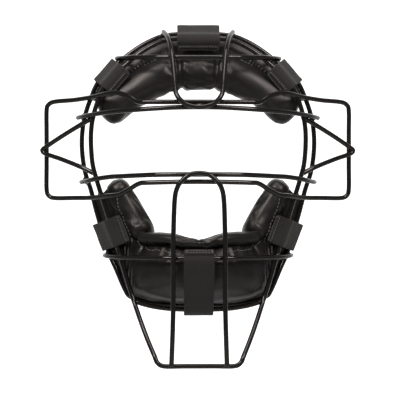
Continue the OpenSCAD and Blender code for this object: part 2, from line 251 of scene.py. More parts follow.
def weave_group() -> NodeGroup:
    """Returns the ribbed weave of webbing, drawn on its width and length in metres."""
    g = NodeGroup(
        "webbing_weave",
        {"Ribs": 3100.0, "Picks": 4200.0},
        {"Height": Socket.VALUE, "Shade": Socket.VALUE},
    )
    split = g.node("ShaderNodeSeparateXYZ")
    g.link(g.source.outputs["Vector"], split.inputs[0])
    across = g.maths("MULTIPLY", split.outputs["X"], g.source.outputs["Ribs"])
    along = g.maths("MULTIPLY", split.outputs["Y"], g.source.outputs["Picks"])
    half = g.maths("MULTIPLY", g.maths("FLOOR", g.maths("DIVIDE", along, math.pi), 0), math.pi / 2)
    warp = g.maths("ABSOLUTE", g.maths("SINE", g.maths("ADD", across, half)))
    weft = g.maths("ABSOLUTE", g.maths("SINE", along))
    body = g.maths("MULTIPLY", warp, g.maths("ADD", g.maths("MULTIPLY", weft, 0.6), 0.4))
    fuzz = g.noise(Scale=1500.0, Detail=2.0)
    g.link(g.maths("ADD", body, g.maths("MULTIPLY", fuzz.outputs["Fac"], 0.35)), g.sink.inputs["Height"])
    g.link(g.maths("MULTIPLY", body, g.maths("ADD", fuzz.outputs["Fac"], 0.45)), g.sink.inputs["Shade"])
    return g


def coat_group() -> NodeGroup:
    """Returns the skin of a dipped coating: fine orange peel, runs and scuffs."""
    g = NodeGroup("dipped_coat", {"Peel": 420.0}, {"Height": Socket.VALUE, "Scuff": Socket.VALUE})
    peel = g.noise(Detail=2.0)
    runs = g.noise(Scale=70.0)
    scuff = g.noise(Scale=160.0, Detail=8.0, Roughness=0.75)
    g.link(g.source.outputs["Peel"], peel.inputs["Scale"])
    g.link(g.maths("ADD", peel.outputs["Fac"], runs.outputs["Fac"]), g.sink.inputs["Height"])
    sharp = g.maths("MULTIPLY", g.maths("SUBTRACT", scuff.outputs["Fac"], 0.58), 6.0)
    g.link(g.maths("MINIMUM", g.maths("MAXIMUM", sharp, 0.0), 1.0), g.sink.inputs["Scuff"])
    return g


@dataclass(frozen=True)
class Finish:
    """One surface finish: two base colours, its gloss and the depth of its relief."""

    name: str
    dark: tuple[float, float, float]
    light: tuple[float, float, float]
    smooth: float
    rough: float
    relief: float
    distance: float
    sheen: float = 0.0
    specular: float = 0.5
    index: float = 1.36
    tint: tuple[float, float, float] = (1.0, 0.9, 0.84)

    def material(
        self, group: NodeGroup, mask: str, on_map: bool = False, **values: float
    ) -> bpy.types.Material:
        """Builds the material from a shared effect.

        Args:
            group: the effect that gives the relief and the colour's mask.
            mask: the group's output that mixes the two colours and the gloss.
            on_map: whether the pattern follows the piece's own map.
            values: numbers for the group's inputs.

        Returns:
            The finished material.
        """
        made = bpy.data.materials.new(self.name)
        made.use_nodes = True
        tree = made.node_tree
        shader = tree.nodes["Principled BSDF"]
        shader.inputs["Sheen Weight"].default_value = self.sheen
        shader.inputs["Sheen Roughness"].default_value = 0.6
        shader.inputs["Specular IOR Level"].default_value = self.specular
        shader.inputs["IOR"].default_value = self.index
        shader.inputs["Specular Tint"].default_value = (*self.tint, 1)
        where = tree.nodes.new("ShaderNodeUVMap" if on_map else "ShaderNodeTexCoord")
        effect = tree.nodes.new("ShaderNodeGroup")
        effect.node_tree = group.tree
        tree.links.new(where.outputs["UV" if on_map else "Object"], effect.inputs["Vector"])
        for label, value in values.items():
            effect.inputs[label].default_value = value
        colour = tree.nodes.new("ShaderNodeMix")
        colour.data_type = "RGBA"
        colour.inputs["A"].default_value = (*self.dark, 1)
        colour.inputs["B"].default_value = (*self.light, 1)
        tree.links.new(effect.outputs[mask], colour.inputs["Factor"])
        tree.links.new(colour.outputs["Result"], shader.inputs["Base Color"])
        gloss = tree.nodes.new("ShaderNodeMapRange")
        gloss.inputs["To Min"].default_value = self.smooth
        gloss.inputs["To Max"].default_value = self.rough
        tree.links.new(effect.outputs[mask], gloss.inputs["Value"])
        tree.links.new(gloss.outputs["Result"], shader.inputs["Roughness"])
        bump = tree.nodes.new("ShaderNodeBump")
        bump.inputs["Strength"].default_value = self.relief
        bump.inputs["Distance"].default_value = self.distance
        tree.links.new(effect.outputs["Height"], bump.inputs["Height"])
        tree.links.new(bump.outputs["Normal"], shader.inputs["Normal"])
        return made


@dataclass
class Palette:
    """Every material of the mask, each made once."""

    coat: bpy.types.Material = field(init=False)
    weld: bpy.types.Material = field(init=False)
    vinyl: bpy.types.Material = field(init=False)
    flange: bpy.types.Material = field(init=False)
    webbing: bpy.types.Material = field(init=False)
    thread: bpy.types.Material = field(init=False)
    hooks: bpy.types.Material = field(init=False)
    loops: bpy.types.Material = field(init=False)
    foam: bpy.types.Material = field(init=False)

    def __post_init__(self) -> None:
        """Builds the shared effects, then the materials on them."""
        coat, grain_fx, weave = coat_group(), grain_group(), weave_group()
        black = (0.0045, 0.004, 0.004)
        bare = (0.004, 0.0037, 0.0036)
        self.coat = Finish(
            "rod_coat", bare, (0.012, 0.011, 0.0105), 0.15, 0.3, 0.12, 0.0002, index=1.4
        ).material(coat, "Scuff")
        self.weld = Finish(
            "weld_coat", bare, (0.015, 0.014, 0.013), 0.2, 0.36, 0.35, 0.0004, index=1.4
        ).material(coat, "Scuff", Peel=900.0)
        self.vinyl = Finish(
            "padded_vinyl", black, (0.013, 0.012, 0.0115), 0.3, 0.42, 0.45, 0.0005, index=1.34
        ).material(grain_fx, "Mottle")
        self.flange = Finish(
            "flat_vinyl", black, (0.014, 0.013, 0.0125), 0.32, 0.46, 0.55, 0.0005, index=1.34
        ).material(grain_fx, "Mottle", Cells=1100.0)
        self.webbing = Finish(
            "nylon_webbing", (0.0048, 0.0041, 0.0037), (0.0185, 0.0158, 0.0145), 0.7, 0.88, 0.6, 0.0005,
            sheen=0.1, specular=0.3,
        ).material(weave, "Shade", on_map=True)
        self.thread = Finish(
            "bonded_thread", (0.05, 0.046, 0.042), (0.15, 0.14, 0.13), 0.4, 0.6, 0.6, 0.0003, sheen=0.1
        ).material(grain_fx, "Mottle", Cells=2600.0)
        self.hooks = Finish(
            "hook_tape", (0.01, 0.01, 0.01), (0.03, 0.03, 0.03), 0.4, 0.7, 1.0, 0.0006
        ).material(grain_fx, "Mottle", Cells=1500.0, Depth=1.0)
        self.loops = Finish(
            "loop_tape", (0.012, 0.012, 0.012), (0.04, 0.04, 0.042), 0.8, 1.0, 1.0, 0.0006,
            sheen=0.3, specular=0.2,
        ).material(grain_fx, "Mottle", Cells=2400.0, Depth=1.0)
        self.foam = Finish(
            "pad_foam", (0.5, 0.46, 0.36), (0.7, 0.66, 0.55), 0.85, 1.0, 0.8, 0.0006, specular=0.2
        ).material(grain_fx, "Mottle", Cells=1300.0)


# ---------------------------------------------------------------- mesh making


def new_mesh(
    name: str,
    verts: np.ndarray,
    faces: list[Face],
    material: bpy.types.Material,
    chart: np.ndarray | None = None,
) -> bpy.types.Object:
    """Makes a smooth-shaded mesh object at the origin.

    Args:
        name: the piece's name.
        verts: its points in frame metres.
        faces: its faces.
        material: its material.
        chart: a map coordinate for each point, in metres.

    Returns:
        The new object.
    """
    mesh = bpy.data.meshes.new(name)
    mesh.from_pydata([tuple(v) for v in verts], [], faces)
    if chart is not None:
        layer = mesh.uv_layers.new(name="cloth")
        for corner in mesh.loops:
            layer.data[corner.index].uv = chart[corner.vertex_index]
    mesh.materials.append(material)
    made = bpy.data.objects.new(name, mesh)
    bpy.context.collection.objects.link(made)
    face_outwards(made)
    return made


def only(obj: bpy.types.Object) -> None:
    """Selects one object and nothing else, and makes it the active one."""
    bpy.ops.object.select_all(action="DESELECT")
    obj.select_set(True)
    bpy.context.view_layer.objects.active = obj


def edit_all(obj: bpy.types.Object, change: Callable[[], object]) -> None:
    """Runs one edit-mode operator on the whole of a mesh."""
    only(obj)
    bpy.ops.object.mode_set(mode="EDIT")
    bpy.ops.mesh.select_all(action="SELECT")
    change()
    bpy.ops.object.mode_set(mode="OBJECT")


def face_outwards(obj: bpy.types.Object) -> None:
    """Recalculates the object's normals and shades it smooth."""
    edit_all(obj, lambda: bpy.ops.mesh.normals_make_consistent(inside=False))
    bpy.ops.object.shade_smooth()


def paint(obj: bpy.types.Object, material: bpy.types.Material) -> None:
    """Gives an object one material in place of any it has."""
    obj.data.materials.clear()
    obj.data.materials.append(material)


def apply_modifier(obj: bpy.types.Object, kind: str, **settings: object) -> None:
    """Adds a modifier with its settings and applies it.

    Args:
        obj: the piece.
        kind: the modifier's type.
        settings: its settings.
    """
    only(obj)
    mod = obj.modifiers.new(kind.lower(), kind)
    for key, value in settings.items():
        setattr(mod, key, value)
    if kind == "SUBSURF":
        mod.render_levels = mod.levels
    bpy.ops.object.modifier_apply(modifier=mod.name)


def face_front(obj: bpy.types.Object) -> None:
    """Turns an open sheet's normals to the front of the mask."""
    if sum(p.normal.y for p in obj.data.polygons) > 0:
        edit_all(obj, bpy.ops.mesh.flip_normals)


def thicken(obj: bpy.types.Object, wall: float, edge: float, segments: int) -> None:
    """Gives a sheet its wall, rounds its edges and smooths it.

    Args:
        obj: the sheet, which faces the front.
        wall: the wall's thickness in mm.
        edge: the rounding of its edges in mm.
        segments: the steps in that rounding.
    """
    face_front(obj)
    apply_modifier(obj, "SOLIDIFY", thickness=wall * MM, offset=-1)
    apply_modifier(obj, "BEVEL", width=edge * MM, segments=segments, limit_method="ANGLE")
    apply_modifier(obj, "SUBSURF", levels=1)
    face_outwards(obj)


def tube_faces(rings: int, sides: int) -> list[Face]:
    """Returns the faces of a closed tube of rings, with its two ends filled."""
    faces = [
        (i * sides + k, i * sides + (k + 1) % sides, (i + 1) * sides + (k + 1) % sides, (i + 1) * sides + k)
        for i in range(rings - 1)
        for k in range(sides)
    ]
    return faces + [tuple(range(sides))[::-1], tuple((rings - 1) * sides + k for k in range(sides))]


def grid_faces(rows: int, cols: int) -> list[Face]:
    """Returns the faces of a grid of points laid out row by row."""
    return [
        (r * cols + c, r * cols + c + 1, (r + 1) * cols + c + 1, (r + 1) * cols + c)
        for r in range(rows - 1)
        for c in range(cols - 1)
    ]


def inflate(
    obj: bpy.types.Object, held: Callable[[Vector], float], pressure: float, cap: float, slack: float
) -> None:
    """Swells a closed cover with cloth simulation, held where its seams are, and keeps the result.

    Args:
        obj: the cover.
        held: how firmly a point is held, from 0 to 1.
        pressure: the pressure inside it.
        cap: how far any point may move, in metres.
        slack: the extra cloth, as a share of its size.
    """
    before = np.array([v.co[:] for v in obj.data.vertices])
    pins = obj.vertex_groups.new(name="held")
    for v in obj.data.vertices:
        pins.add([v.index], held(v.co), "REPLACE")
    only(obj)
    mod = obj.modifiers.new("cloth", "CLOTH")
    cloth = mod.settings
    for key, value in CLOTH.items():
        setattr(cloth, key, value)
    cloth.uniform_pressure_force = pressure
    cloth.shrink_min = -slack
    cloth.effector_weights.gravity = 0
    mod.collision_settings.use_collision = False
    scene = bpy.context.scene
    mod.point_cache.frame_start = 1
    mod.point_cache.frame_end = CLOTH_FRAMES
    for step in range(1, CLOTH_FRAMES + 1):
        scene.frame_set(step)
    shape = obj.evaluated_get(bpy.context.evaluated_depsgraph_get())
    after = np.array([v.co[:] for v in shape.data.vertices])
    obj.modifiers.remove(mod)
    scene.frame_set(1)
    move = np.nan_to_num(after - before)
    size = np.linalg.norm(move, axis=1, keepdims=True)
    move *= np.minimum(1.0, cap / np.maximum(size, 1e-9))
    for v, p in zip(obj.data.vertices, before + move):
        v.co = p
    obj.data.update()


# ---------------------------------------------------------------- the wire cage


@dataclass
class Rod:
    """One bent rod of the cage, in the drawing's millimetres."""

    node: str
    points: list[Point]
    closed: bool = False
    radius: float = 2.15
    spacing: float = 1.6
    tip: float = 0.72
    sharpest: float = 50.0

    def line(self) -> np.ndarray:
        """Returns the rod's centre line, evenly sampled, in mm."""
        raw = smooth_path(self.points, 12, self.closed)
        if self.closed:
            raw = np.vstack([raw, raw[:1]])
        count = max(8, int(arc_lengths(raw)[-1] / self.spacing))
        even = resample(raw, count)
        return even[:-1] if self.closed else even

    def build(self, palette: Palette) -> bpy.types.Object:
        """Makes the rod as a bevelled curve, turned into a mesh, with its cut ends rounded.

        Args:
            palette: the mask's materials.

        Returns:
            The rod.
        """
        line = place(self.line())
        bpy.ops.object.select_all(action="DESELECT")
        bpy.ops.curve.primitive_bezier_curve_add()
        made = bpy.context.active_object
        made.location = (0, 0, 0)
        made.name = f"rod_{self.node}"
        curve = made.data
        curve.dimensions = "3D"
        curve.splines.clear()
        spline = curve.splines.new("POLY")
        if not self.closed:
            first, last = line[0], line[-1]
            ahead = (line[1] - first) * 0.5, (line[-2] - last) * 0.5
            line = np.vstack([first, first + ahead[0], line[1:-1], last + ahead[1], last])
        spline.points.add(len(line) - 1)
        for i, p in enumerate(line):
            spline.points[i].co = (*p, 1)
            edge = 0 if self.closed else min(i, len(line) - 1 - i)
            spline.points[i].radius = self.tip if edge == 0 and not self.closed else 1.0
        spline.use_cyclic_u = self.closed
        curve.bevel_depth = self.radius * MM
        curve.bevel_resolution = 5
        curve.use_fill_caps = True
        curve.twist_mode = "MINIMUM"
        only(made)
        bpy.ops.object.convert(target="MESH")
        made = bpy.context.active_object
        paint(made, palette.coat)
        bpy.ops.object.shade_smooth_by_angle(angle=math.radians(self.sharpest))
        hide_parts(self.node)
        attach(made, "mask")
        return made


@dataclass
class Cage:
    """The welded cage: its rods, and a bead of weld wherever two of them meet."""

    rear_y: float = 6.0
    front_y: float = -8.0
    crown_rise: float = 150.0
    ear_reach: float = 138.6
    ear_y: float = 21.0
    throat_half: float = 32.0
    weld_reach: float = 5.1
    weld_gap: float = 6.0
    bead: Point = (2.05, 2.05, 3.4)
    bead_lumps: float = 0.16
    rods: list[Rod] = field(default_factory=list)

    def ring(self, half: list[Point]) -> list[Point]:
        """Returns a closed ring from its right half."""
        return half + mirrored(half)[::-1]

    def rear_half(self) -> list[Point]:
        """Returns the right half of the rear ring."""
        y = self.rear_y
        return [
            (22, y, self.crown_rise - 0.3), (43, y, 144), (65, y, 130), (88, y, 109.5), (97, y, 92),
            (103.3, y + 1, 72), (105.4, y + 3, 50), (103, y + 5, 27), (97.4, y + 6, 9),
            (91.5, y + 6, -13.6), (82, y + 4, -45), (74, y, -63), (66, y - 2, -81), (60.5, y - 3, -87.5),
            (43.5, y - 4, -92.5), (22, y - 5, -94.5),
        ]

    def front_half(self) -> list[Point]:
        """Returns the right half of the front ring, which runs on down as the throat guard."""
        y, t = self.front_y, self.throat_half
        return [
            (22, y, 144), (43, y, 137), (62, y, 123.4), (82, y, 104), (91, y, 85), (95.7, y, 62.5),
            (95, y + 1, 35.7), (90.9, y + 2, 17.9), (84, y + 2, -4.5), (73.2, y, -38.4),
            (66.3, y - 2, -62.5), (57.7, y - 6, -89), (51.3, y - 18, -105.6), (44.5, y - 29, -121.8),
            (38.4, y - 39, -134.5), (35.8, y - 41, -140), (t - 2, y - 42, -142.8), (12, y - 42, -142.8),
        ]

    def window(self) -> list[Point]:
        """Returns the one rod that is both ear guards, the upper brow bar and the lower cheek bar."""
        x, y = self.ear_reach, self.ear_y
        right = [
            (0, -46, 84.6), (43.3, -42, 84.9), (53, -38, 85.4), (61, -33, 90.3), (70.2, -27, 93.8),
            (80, -20, 94.2), (94, -6, 92.2), (112, 8, 90.6), (x - 8, y - 2, 89.9), (x - 2, y, 87.5),
            (x, y, 82), (x, y, 60), (x, y, 32), (x, y, 10), (x - 2, y, 4), (x - 8, y - 2, 1.8),
            (112, 11, 1.9), (96, 0, 2.1), (79, -20, 3.7), (70.2, -27, 4.7), (61, -34, 9.2),
            (52, -41, 14.2), (43, -46, 15), (0, -54, 15.7),
        ]
        return right + mirrored(right[1:-1])[::-1]

    def make_rods(self) -> None:
        """Lays out every rod."""
        brace = [
            (94, -4, 73.5), (104, -1, 68.6), (124, 9, 57.4), (138.5, 17.2, 48.6), (142.4, 18.4, 45.3),
            (138.5, 17.2, 42), (124, 9, 37), (104, 0, 29), (93.4, -3.2, 23.6),
        ]
        halves: dict[str, list[Point]] = {
            "brow_bar": [
                (109.6, 14, 74.8), (104.5, 4, 75.2), (93.5, -13, 76), (78.8, -29, 77), (60.7, -40, 77.8),
                (43.1, -46, 78.6), (21.5, -49, 79.6), (0, -50, 79.8),
            ],
            "cheek_bar": [
                (106.5, 14, 16.3), (102.6, 5, 16.8), (92, -12, 18.6), (78.5, -22, 20.4), (69.2, -29, 20.8),
                (51, -41, 21.4), (33.5, -49, 21.8), (0, -53, 21.9),
            ],
            "chin_bar": [
                (85.2, 13, -50.3), (81.8, 4, -50.5), (71.9, -11, -50.9), (60.4, -22, -50.8),
                (42.2, -37, -50.5), (28.9, -45, -50.2), (0, -49, -50.3),
            ],
            "crown_bar": [
                (74, 10, 128.4), (69, 0, 127.6), (60, -12, 126.9), (50, -18, 126.3), (33.8, -26, 125.7),
                (0, -30, 125),
            ],
            "bottom_arc": [(55.6, -14, -90.4), (43, -14, -94), (25, -13.5, -96.7), (0, -13, -97.4)],
            "crown_u_bar": [
                (31.6, 9, 152.6), (29.4, -1, 149), (27, -12, 143.6), (24.2, -27, 131.7), (22, -40, 112.7),
                (20.4, -49, 94.6), (18.9, -51.5, 89.6), (15.7, -53, 85.3), (10.3, -54, 81.5),
                (0, -54.5, 79.6),
            ],
            "nose_arch": [
                (23.8, -54, -142.6), (22.6, -57, -108), (22.3, -54.5, -85), (22.3, -53.4, -51),
                (22.1, -54.5, -30), (21, -57, 0), (18.6, -58.3, 11), (14.3, -58.3, 17), (8.5, -58, 21.5),
                (0, -57.8, 23),
            ],
        }
        self.rods = [
            Rod("rear_ring", self.ring(self.rear_half()), closed=True),
            Rod("front_ring", self.ring(self.front_half()), closed=True),
            Rod("window_loop", self.window(), closed=True),
            Rod("ear_brace_right", brace),
            Rod("ear_brace_left", mirrored(brace)),
        ] + [Rod(node, both_sides(half)) for node, half in halves.items()]

    def meetings(self) -> list[tuple[np.ndarray, np.ndarray]]:
        """Finds where rods touch.

        Returns:
            A place in mm and a direction for each weld.
        """
        lines = [rod.line() for rod in self.rods]
        found: list[tuple[np.ndarray, np.ndarray]] = []
        for i, a in enumerate(lines):
            for b in lines[i + 1 :]:
                gap = np.linalg.norm(a[:, None] - b[None], axis=2)
                near = gap.min(axis=1)
                for k in np.where(near < self.weld_reach)[0]:
                    low, high = max(0, k - 6), k + 7
                    if near[k] > near[low:high].min():
                        continue
                    j = int(gap[k].argmin())
                    spot = (a[k] + b[j]) / 2
                    if all(np.linalg.norm(spot - other) > self.weld_gap for other, _ in found):
                        run = a[min(k + 1, len(a) - 1)] - a[max(k - 1, 0)]
                        found.append((spot, unit(run)))
        return found

    def weld(self, palette: Palette) -> bpy.types.Object:
        """Lays a lumpy bead at every meeting and joins them into one piece.

        Args:
            palette: the mask's materials.

        Returns:
            The welds.
        """
        beads = []
        for k, (spot, run) in enumerate(self.meetings()):
            bpy.ops.object.select_all(action="DESELECT")
            bpy.ops.mesh.primitive_uv_sphere_add(segments=20, ring_count=12, radius=1.0)
            bead = bpy.context.active_object
            axis = Vector(run)
            turn = axis.to_track_quat("Z", "Y").to_matrix()
            centre = place([spot])[0]
            for v in bead.data.vertices:
                lump = 1 + self.bead_lumps * grain(v.co, 0.6, k * 1.7)
                shaped = turn @ (v.co * Vector(self.bead)) * lump * MM
                v.co = Vector(centre) + shaped
            beads.append(bead)
        bpy.ops.object.select_all(action="DESELECT")
        for bead in beads:
            bead.select_set(True)
        bpy.context.view_layer.objects.active = beads[0]
        bpy.ops.object.join()
        made = bpy.context.active_object
        made.name = "weld_beads"
        made.data.materials.append(palette.weld)
        bpy.ops.object.shade_smooth()
        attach(made, "mask")
        return made

    def build(self, palette: Palette) -> list[bpy.types.Object]:
        """Builds the rods and their welds, and returns them."""
        self.make_rods()
        return [rod.build(palette) for rod in self.rods] + [self.weld(palette)]


# ---------------------------------------------------------------- sewing


@dataclass
class Stitches:
    """A run of thread: short capsules laid end to end on a line."""

    pitch: float = 3.4
    length: float = 2.4
    thick: float = 0.46
    sides: int = 7

    def build(self, name: str, runs: Sequence[np.ndarray], palette: Palette) -> bpy.types.Object:
        """Sews along each run of points.

        Args:
            name: the piece's name.
            runs: lines in mm that lie on the cloth.
            palette: the mask's materials.

        Returns:
            All the stitches as one piece.
        """
        verts: list[np.ndarray] = []
        faces: list[Face] = []
        profile = [(-0.5, 0.25), (-0.4, 0.8), (-0.15, 1.0), (0.15, 1.0), (0.4, 0.8), (0.5, 0.25)]
        for run in runs:
            s = arc_lengths(run)
            for c in np.arange(self.pitch / 2, s[-1], self.pitch):
                here, ahead = at_length(run, s, np.array([c, min(c + 0.5, s[-1])]))
                if np.linalg.norm(ahead - here) < 1e-6:
                    continue
                along = unit(ahead - here)
                side = unit(np.cross(along, [0.0, 1.0, 0.0] if abs(along[1]) < 0.9 else [1.0, 0.0, 0.0]))
                up = np.cross(side, along)
                start = len(verts)
                for t, r in profile:
                    for k in range(self.sides):
                        a = 2 * math.pi * k / self.sides
                        off = (math.cos(a) * side + math.sin(a) * up) * r * self.thick
                        verts.append(here + along * t * self.length + off)
                faces += [tuple(start + i for i in f) for f in tube_faces(len(profile), self.sides)]
        made = new_mesh(name, place(verts), faces, palette.thread)
        return made


@dataclass
class Roll:
    """A stuffed vinyl tube: a path, its half sizes, and the seams that divide it."""

    name: str
    path: list[Point]
    half_width: float
    half_depth: float
    nodes: tuple[str, ...]
    seams: tuple[float, ...] = ()
    dome: float = 13.0
    puckers: int = 11
    squareness: float = 2.3
    step: float = 1.7
    sides: int = 56
    seed: float = 1.0
    pull: float = 0.26
    slim: float = 1.0
    seam_width: float = 1.9
    seam_spread: float = 11.0
    folds: float = 0.035
    lumps: float = 0.022
    held_by_seam: float = 2.2
    held_by_end: float = 4.0
    pressure: float = 5.0
    cap: float = 0.0016
    slack: float = 0.012

    def spine(self) -> np.ndarray:
        """Returns the tube's evenly sampled centre line in mm."""
        raw = smooth_path(self.path, 14)
        return resample(raw, int(arc_lengths(raw)[-1] / self.step))

    def swell(self, s: float, total: float, angle: float, p: np.ndarray) -> float:
        """Returns how full the tube is at a place.

        Args:
            s: how far along the spine, in mm.
            total: the spine's length.
            angle: the place round the tube, 0 at its outer side.
            p: the spine's point there.

        Returns:
            The share of the full radius.
        """
        end = min(s, total - s)
        full = math.sqrt(max(0.0, 1 - (1 - min(1.0, end / self.dome)) ** 2.2)) if end < self.dome else 1.0
        full = max(full, 0.02)
        full *= 1 - (1 - self.slim) * bell(s - total / 2, total * 0.1)
        for seam in self.seams:
            d = abs(s - seam * total)
            full *= 1 - self.pull * bell(d, self.seam_width) - 0.05 * bell(d, self.seam_spread)
            fold = math.sin(self.puckers * angle + 5 * grain((s, seam * 40, 0), 9, self.seed))
            full *= 1 + self.folds * fold * bell(d - self.seam_spread / 2, self.seam_spread / 2)
        full *= 1 + self.lumps * grain((*p[:2], p[2] + 40 * math.sin(angle)), 16, self.seed)
        inner = max(0.0, -math.cos(angle)) ** 2
        crush = math.sin(s / 2.9 + 4 * grain((s, 3, angle), 14, self.seed))
        full *= 1 + self.lumps * inner * crush * min(1.0, end / 16)
        for own in (s, total - s):
            full *= 1 - self.folds * bell(own - self.dome * 0.62, 1.4)
        return full

    def build(self, palette: Palette) -> bpy.types.Object:
        """Lofts the tube, swells it between its seams, and pulls the seams in.

        Args:
            palette: the mask's materials.

        Returns:
            The tube.
        """
        spine = self.spine()
        n = len(spine)
        along = unit(np.gradient(spine, axis=0))
        depth = np.array([0.0, 1.0, 0.0])
        total = arc_lengths(spine)[-1]
        verts = []
        for i in range(n):
            s = total * i / (n - 1)
            out = unit(np.cross(along[i], depth))
            if out[2] < 0:
                out = -out
            back = np.cross(out, along[i])
            back *= 1 if back[1] > 0 else -1
            for k in range(self.sides):
                a = 2 * math.pi * k / self.sides
                c, d = math.cos(a), math.sin(a)
                e = 2 / self.squareness
                u = math.copysign(abs(c) ** e, c) * self.half_width
                v = math.copysign(abs(d) ** e, d) * self.half_depth
                full = self.swell(s, total, a, spine[i])
                verts.append(spine[i] + (out * u + back * v) * full)
        made = new_mesh(self.name, place(verts), tube_faces(n, self.sides), palette.vinyl)
        seam_at = [spine[int(round(seam * (n - 1)))] for seam in self.seams]
        seam_along = [along[int(round(seam * (n - 1)))] for seam in self.seams]
        ends = place([spine[0], spine[-1]])

        def held(co: Vector) -> float:
            """Returns how firmly the seams and the tube's ends hold a point."""
            p = np.array(co)
            near = [abs(float((p - place([q])[0]) @ d)) / MM for q, d in zip(seam_at, seam_along)]
            tip = min(np.linalg.norm(p - end) for end in ends) / MM
            by_seam = [float(bell(d, self.held_by_seam)) for d in near]
            return max(by_seam + [float(bell(tip, self.held_by_end))])

        inflate(made, held, self.pressure, self.cap, self.slack)
        apply_modifier(made, "SUBSURF", levels=1)
        face_outwards(made)
        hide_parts(*self.nodes)
        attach(made, "mask")
        return made


def laid_on(obj: bpy.types.Object, line: Sequence[Sequence[float]], lift: float = 0.25) -> np.ndarray:
    """Moves a line onto a piece's surface.

    Args:
        obj: the piece.
        line: points near it, in the drawing's mm.
        lift: how far the result stands off the surface, in mm.

    Returns:
        The line in the drawing's mm.
    """
    found = []
    for p in place(line):
        _, spot, normal, _ = obj.closest_point_on_mesh(Vector(p))
        found.append(spot + normal * lift * MM)
    return np.array(found) / MM + np.array([0, SEAT, EYE_LINE])


@dataclass
class Flange:
    """A sewn sheet between an outer edge by the ring and an inner seam beside a roll."""

    name: str
    outer: list[Point]
    inner: list[Point]
    node: str
    thick: float = 2.6
    tuck: float = 3.0
    puff: float = 1.5
    rows: int = 110
    cols: int = 20
    stitch_at: float = 0.8
    edge_stitch_at: float = 0.12
    stitch_width: float = 0.05
    wave: float = 0.7
    gather: float = 0.35
    seed: float = 2.0
    edges: list[np.ndarray] = field(init=False)

    def __post_init__(self) -> None:
        """Samples the two edges evenly."""
        self.edges = [resample(smooth_path(side, 12), EDGE_SAMPLES) for side in (self.outer, self.inner)]

    def point(self, v: float, t: float) -> np.ndarray:
        """Returns a place on the sheet's front.

        Args:
            v: how far along, from 0 to 1.
            t: how far across, 0 at the ring and 1 at the roll.

        Returns:
            The place in mm.
        """
        a, b = (at_length(e, np.arange(EDGE_SAMPLES), v * (EDGE_SAMPLES - 1)) for e in self.edges)
        x, y, z = a + (b - a) * t
        full = math.sin(math.pi * min(1.0, t / self.stitch_at))
        groove = 0.8 * bell(t - self.stitch_at, self.stitch_width)
        groove += 0.5 * bell(t - self.edge_stitch_at, self.stitch_width)
        pull = math.sin(v * 2.1 * self.rows + 4 * grain((x, z, 5), 20)) * bell(t - self.stitch_at, 0.2)
        wave = self.wave * grain((x, z, 0), 13, self.seed) + self.gather * pull
        back = self.tuck * max(0.0, (t - self.stitch_at) / (1 - self.stitch_at)) ** 1.6
        return np.array([x, y - self.puff * full + groove + wave + back, z])

    def stitch_lines(self) -> list[np.ndarray]:
        """Returns the two sewn lines that run along the sheet."""
        return [
            np.array([self.point(v, t) - np.array([0, 0.15, 0]) for v in np.linspace(0.03, 0.97, 90)])
            for t in (self.stitch_at, self.edge_stitch_at)
        ]

    def build(self, palette: Palette) -> bpy.types.Object:
        """Makes the sheet with its thickness and its rounded edge.

        Args:
            palette: the mask's materials.

        Returns:
            The sheet.
        """
        verts = [
            self.point(v, t) for v in np.linspace(0, 1, self.rows) for t in np.linspace(0, 1, self.cols)
        ]
        made = new_mesh(self.name, place(verts), grid_faces(self.rows, self.cols), palette.flange)
        thicken(made, self.thick, edge=0.7, segments=2)
        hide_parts(self.node)
        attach(made, "mask")
        return made


@dataclass
class CrownPad:
    """The forehead pad: a roll in three chambers and the flange that ties it to the ring."""

    depth: float = 7.6
    half_width: float = 16.2
    half_depth: float = 14.6

    def build(self, palette: Palette) -> list[bpy.types.Object]:
        """Builds the roll, the flange and the sewing between them.

        Args:
            palette: the mask's materials.

        Returns:
            The pieces.
        """
        y = self.depth
        right = [
            (0, y, 114.8), (9, y, 114.7), (18, y, 113.9), (30, y, 112.4), (44, y, 106.3),
            (55, y, 100.0), (66, y, 93.0), (77, y, 84.5), (88.5, y, 77.2),
        ]
        path = mirrored(right[1:])[::-1] + right
        roll = Roll(
            "crown_roll", path, self.half_width, self.half_depth,
            ("crown_cover_centre", "crown_cover_left", "crown_cover_right",
             "crown_foam_centre", "crown_foam_left", "crown_foam_right"),
            seams=(0.418, 0.582), seed=3.1, slim=0.94, pull=0.17,
        )
        outer = [(0, 6, 150), (22, 6, 149.4), (43, 6, 143.8), (65, 6, 129.8), (88, 6, 109.3), (97, 6, 90.5)]
        inner = [
            (0, -0.5, 124.5), (17, 0.5, 121), (30, -0.5, 123.5), (41, -0.5, 120.5), (52, -0.5, 114.5),
            (63, -0.5, 106.5), (72, -0.5, 98.5), (84, -0.5, 88),
        ]
        flange = Flange(
            "crown_flange_sheet", mirrored(outer[1:])[::-1] + outer, mirrored(inner[1:])[::-1] + inner,
            "crown_flange", rows=190,
        )
        made = [roll.build(palette), flange.build(palette)]
        sewing = Stitches().build("crown_stitches", flange.stitch_lines(), palette)
        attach(sewing, "mask")
        return made + [sewing]


